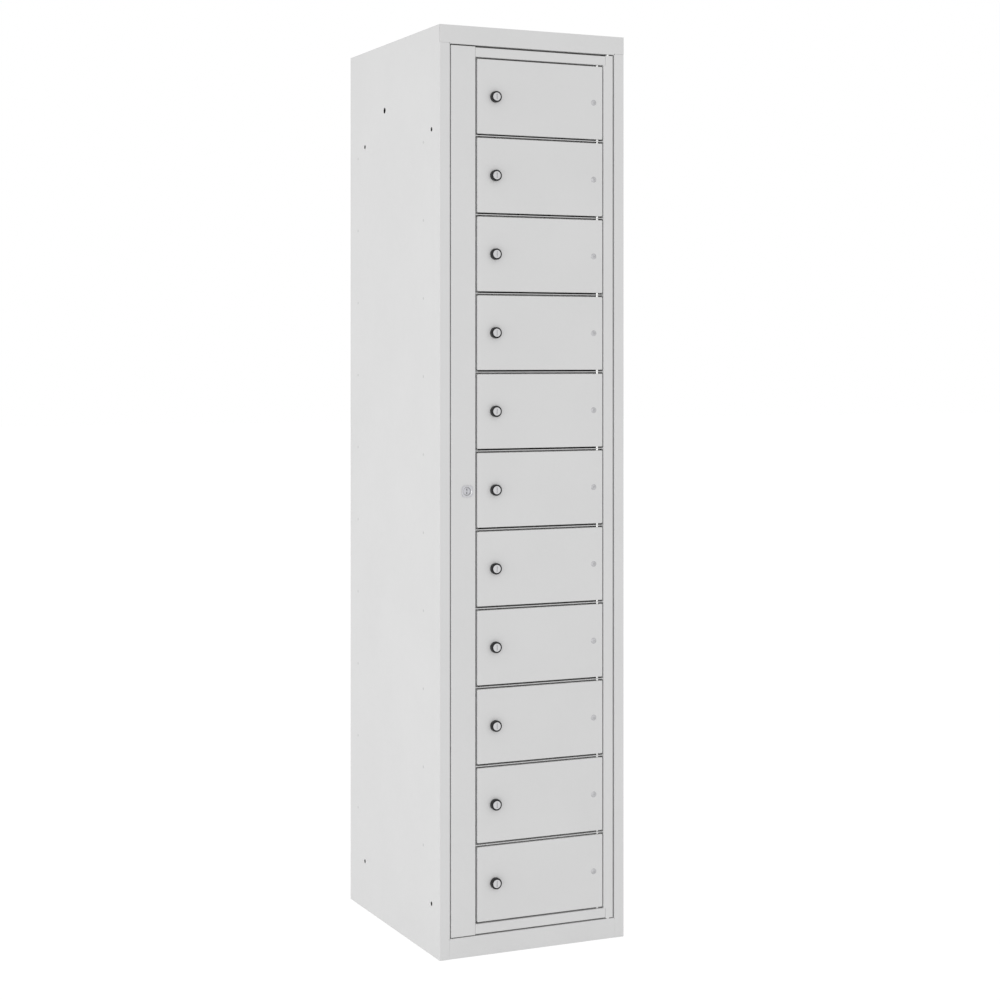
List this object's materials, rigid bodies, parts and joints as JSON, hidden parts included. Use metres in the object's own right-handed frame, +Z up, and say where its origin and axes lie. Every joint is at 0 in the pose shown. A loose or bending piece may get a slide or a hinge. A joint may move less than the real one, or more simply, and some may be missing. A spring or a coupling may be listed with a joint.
{
  "type": "phone locker cabinet",
  "caption": "Tall narrow steel locker with a column of small keyed doors hung in one lockable frame door, over shelved compartments.",
  "frame": {"origin": "on the floor at the middle of the carcass, seen from above", "axes": "+Z up, the doors face -Y, +X towards the hinge side of the doors"},
  "size_m": [0.4, 0.4985, 1.8],
  "materials": {
    "body_paint": "light grey powder coat, fine satin texture",
    "frame_paint": "light grey powder coat, fine satin texture",
    "door_paint": "light grey powder coat, fine satin texture",
    "lock_black": "black coated die-cast zinc, satin",
    "lock_chrome": "chrome plate over turned metal",
    "lock_nickel": "satin nickel plate",
    "zinc_steel": "zinc plated steel",
    "pin_steel": "bright drawn steel, smooth"
  },
  "bodies": {
    "carcass": {"left_side_panel": "body_paint", "right_side_panel": "body_paint", "back_panel": "body_paint", "top_panel": "body_paint", "bottom_panel": "body_paint", "shelves": "body_paint", "frame_hinge_pins": "pin_steel"},
    "frame_door": {"frame_lock_stile": "frame_paint", "frame_hinge_stile": "frame_paint", "frame_top_rail": "frame_paint", "frame_bottom_rail": "frame_paint", "frame_crossbars": "frame_paint", "compartment_hinge_pins": "pin_steel", "frame_lock_body": "lock_nickel"},
    "frame_lock": {"frame_lock_plug": "lock_nickel", "frame_lock_cam": "zinc_steel"},
    "door_01": {"compartment_door_01": "door_paint", "lock_barrel_01": "lock_black"},
    "lock_01": {"lock_plug_01": "lock_chrome", "lock_cam_01": "zinc_steel"},
    "door_02": {"compartment_door_02": "door_paint", "lock_barrel_02": "lock_black"},
    "lock_02": {"lock_plug_02": "lock_chrome", "lock_cam_02": "zinc_steel"},
    "door_03": {"compartment_door_03": "door_paint", "lock_barrel_03": "lock_black"},
    "lock_03": {"lock_plug_03": "lock_chrome", "lock_cam_03": "zinc_steel"},
    "door_04": {"compartment_door_04": "door_paint", "lock_barrel_04": "lock_black"},
    "lock_04": {"lock_plug_04": "lock_chrome", "lock_cam_04": "zinc_steel"},
    "door_05": {"compartment_door_05": "door_paint", "lock_barrel_05": "lock_black"},
    "lock_05": {"lock_plug_05": "lock_chrome", "lock_cam_05": "zinc_steel"},
    "door_06": {"compartment_door_06": "door_paint", "lock_barrel_06": "lock_black"},
    "lock_06": {"lock_plug_06": "lock_chrome", "lock_cam_06": "zinc_steel"},
    "door_07": {"compartment_door_07": "door_paint", "lock_barrel_07": "lock_black"},
    "lock_07": {"lock_plug_07": "lock_chrome", "lock_cam_07": "zinc_steel"},
    "door_08": {"compartment_door_08": "door_paint", "lock_barrel_08": "lock_black"},
    "lock_08": {"lock_plug_08": "lock_chrome", "lock_cam_08": "zinc_steel"},
    "door_09": {"compartment_door_09": "door_paint", "lock_barrel_09": "lock_black"},
    "lock_09": {"lock_plug_09": "lock_chrome", "lock_cam_09": "zinc_steel"},
    "door_10": {"compartment_door_10": "door_paint", "lock_barrel_10": "lock_black"},
    "lock_10": {"lock_plug_10": "lock_chrome", "lock_cam_10": "zinc_steel"},
    "door_11": {"compartment_door_11": "door_paint", "lock_barrel_11": "lock_black"},
    "lock_11": {"lock_plug_11": "lock_chrome", "lock_cam_11": "zinc_steel"}
  },
  "joints": [
    {"name": "frame_door_hinge", "type": "hinge", "parent": "carcass", "child": "frame_door", "pos_m": [0.1655, -0.24, 0.9016], "axis": [0, 0, 1], "range_deg": [0, 100]},
    {"name": "frame_lock_turn", "type": "hinge", "parent": "frame_door", "child": "frame_lock", "pos_m": [-0.1425, -0.245, 0.9004], "axis": [0, 1, 0], "range_deg": [0, 90]},
    {"name": "door_01_hinge", "type": "hinge", "parent": "frame_door", "child": "door_01", "pos_m": [0.1425, -0.239, 1.6656], "axis": [0, 0, 1], "range_deg": [0, 95]},
    {"name": "lock_01_turn", "type": "hinge", "parent": "door_01", "child": "lock_01", "pos_m": [-0.0828, -0.245, 1.6656], "axis": [0, 1, 0], "range_deg": [0, 90]},
    {"name": "door_02_hinge", "type": "hinge", "parent": "frame_door", "child": "door_02", "pos_m": [0.1425, -0.239, 1.5128], "axis": [0, 0, 1], "range_deg": [0, 95]},
    {"name": "lock_02_turn", "type": "hinge", "parent": "door_02", "child": "lock_02", "pos_m": [-0.0828, -0.245, 1.5128], "axis": [0, 1, 0], "range_deg": [0, 90]},
    {"name": "door_03_hinge", "type": "hinge", "parent": "frame_door", "child": "door_03", "pos_m": [0.1425, -0.239, 1.36], "axis": [0, 0, 1], "range_deg": [0, 95]},
    {"name": "lock_03_turn", "type": "hinge", "parent": "door_03", "child": "lock_03", "pos_m": [-0.0828, -0.245, 1.36], "axis": [0, 1, 0], "range_deg": [0, 90]},
    {"name": "door_04_hinge", "type": "hinge", "parent": "frame_door", "child": "door_04", "pos_m": [0.1425, -0.239, 1.2072], "axis": [0, 0, 1], "range_deg": [0, 95]},
    {"name": "lock_04_turn", "type": "hinge", "parent": "door_04", "child": "lock_04", "pos_m": [-0.0828, -0.245, 1.2072], "axis": [0, 1, 0], "range_deg": [0, 90]},
    {"name": "door_05_hinge", "type": "hinge", "parent": "frame_door", "child": "door_05", "pos_m": [0.1425, -0.239, 1.0544], "axis": [0, 0, 1], "range_deg": [0, 95]},
    {"name": "lock_05_turn", "type": "hinge", "parent": "door_05", "child": "lock_05", "pos_m": [-0.0828, -0.245, 1.0544], "axis": [0, 1, 0], "range_deg": [0, 90]},
    {"name": "door_06_hinge", "type": "hinge", "parent": "frame_door", "child": "door_06", "pos_m": [0.1425, -0.239, 0.9016], "axis": [0, 0, 1], "range_deg": [0, 95]},
    {"name": "lock_06_turn", "type": "hinge", "parent": "door_06", "child": "lock_06", "pos_m": [-0.0828, -0.245, 0.9016], "axis": [0, 1, 0], "range_deg": [0, 90]},
    {"name": "door_07_hinge", "type": "hinge", "parent": "frame_door", "child": "door_07", "pos_m": [0.1425, -0.239, 0.7488], "axis": [0, 0, 1], "range_deg": [0, 95]},
    {"name": "lock_07_turn", "type": "hinge", "parent": "door_07", "child": "lock_07", "pos_m": [-0.0828, -0.245, 0.7488], "axis": [0, 1, 0], "range_deg": [0, 90]},
    {"name": "door_08_hinge", "type": "hinge", "parent": "frame_door", "child": "door_08", "pos_m": [0.1425, -0.239, 0.596], "axis": [0, 0, 1], "range_deg": [0, 95]},
    {"name": "lock_08_turn", "type": "hinge", "parent": "door_08", "child": "lock_08", "pos_m": [-0.0828, -0.245, 0.596], "axis": [0, 1, 0], "range_deg": [0, 90]},
    {"name": "door_09_hinge", "type": "hinge", "parent": "frame_door", "child": "door_09", "pos_m": [0.1425, -0.239, 0.4432], "axis": [0, 0, 1], "range_deg": [0, 95]},
    {"name": "lock_09_turn", "type": "hinge", "parent": "door_09", "child": "lock_09", "pos_m": [-0.0828, -0.245, 0.4432], "axis": [0, 1, 0], "range_deg": [0, 90]},
    {"name": "door_10_hinge", "type": "hinge", "parent": "frame_door", "child": "door_10", "pos_m": [0.1425, -0.239, 0.2904], "axis": [0, 0, 1], "range_deg": [0, 95]},
    {"name": "lock_10_turn", "type": "hinge", "parent": "door_10", "child": "lock_10", "pos_m": [-0.0828, -0.245, 0.2904], "axis": [0, 1, 0], "range_deg": [0, 90]},
    {"name": "door_11_hinge", "type": "hinge", "parent": "frame_door", "child": "door_11", "pos_m": [0.1425, -0.239, 0.1376], "axis": [0, 0, 1], "range_deg": [0, 95]},
    {"name": "lock_11_turn", "type": "hinge", "parent": "door_11", "child": "lock_11", "pos_m": [-0.0828, -0.245, 0.1376], "axis": [0, 1, 0], "range_deg": [0, 90]}
  ]
}
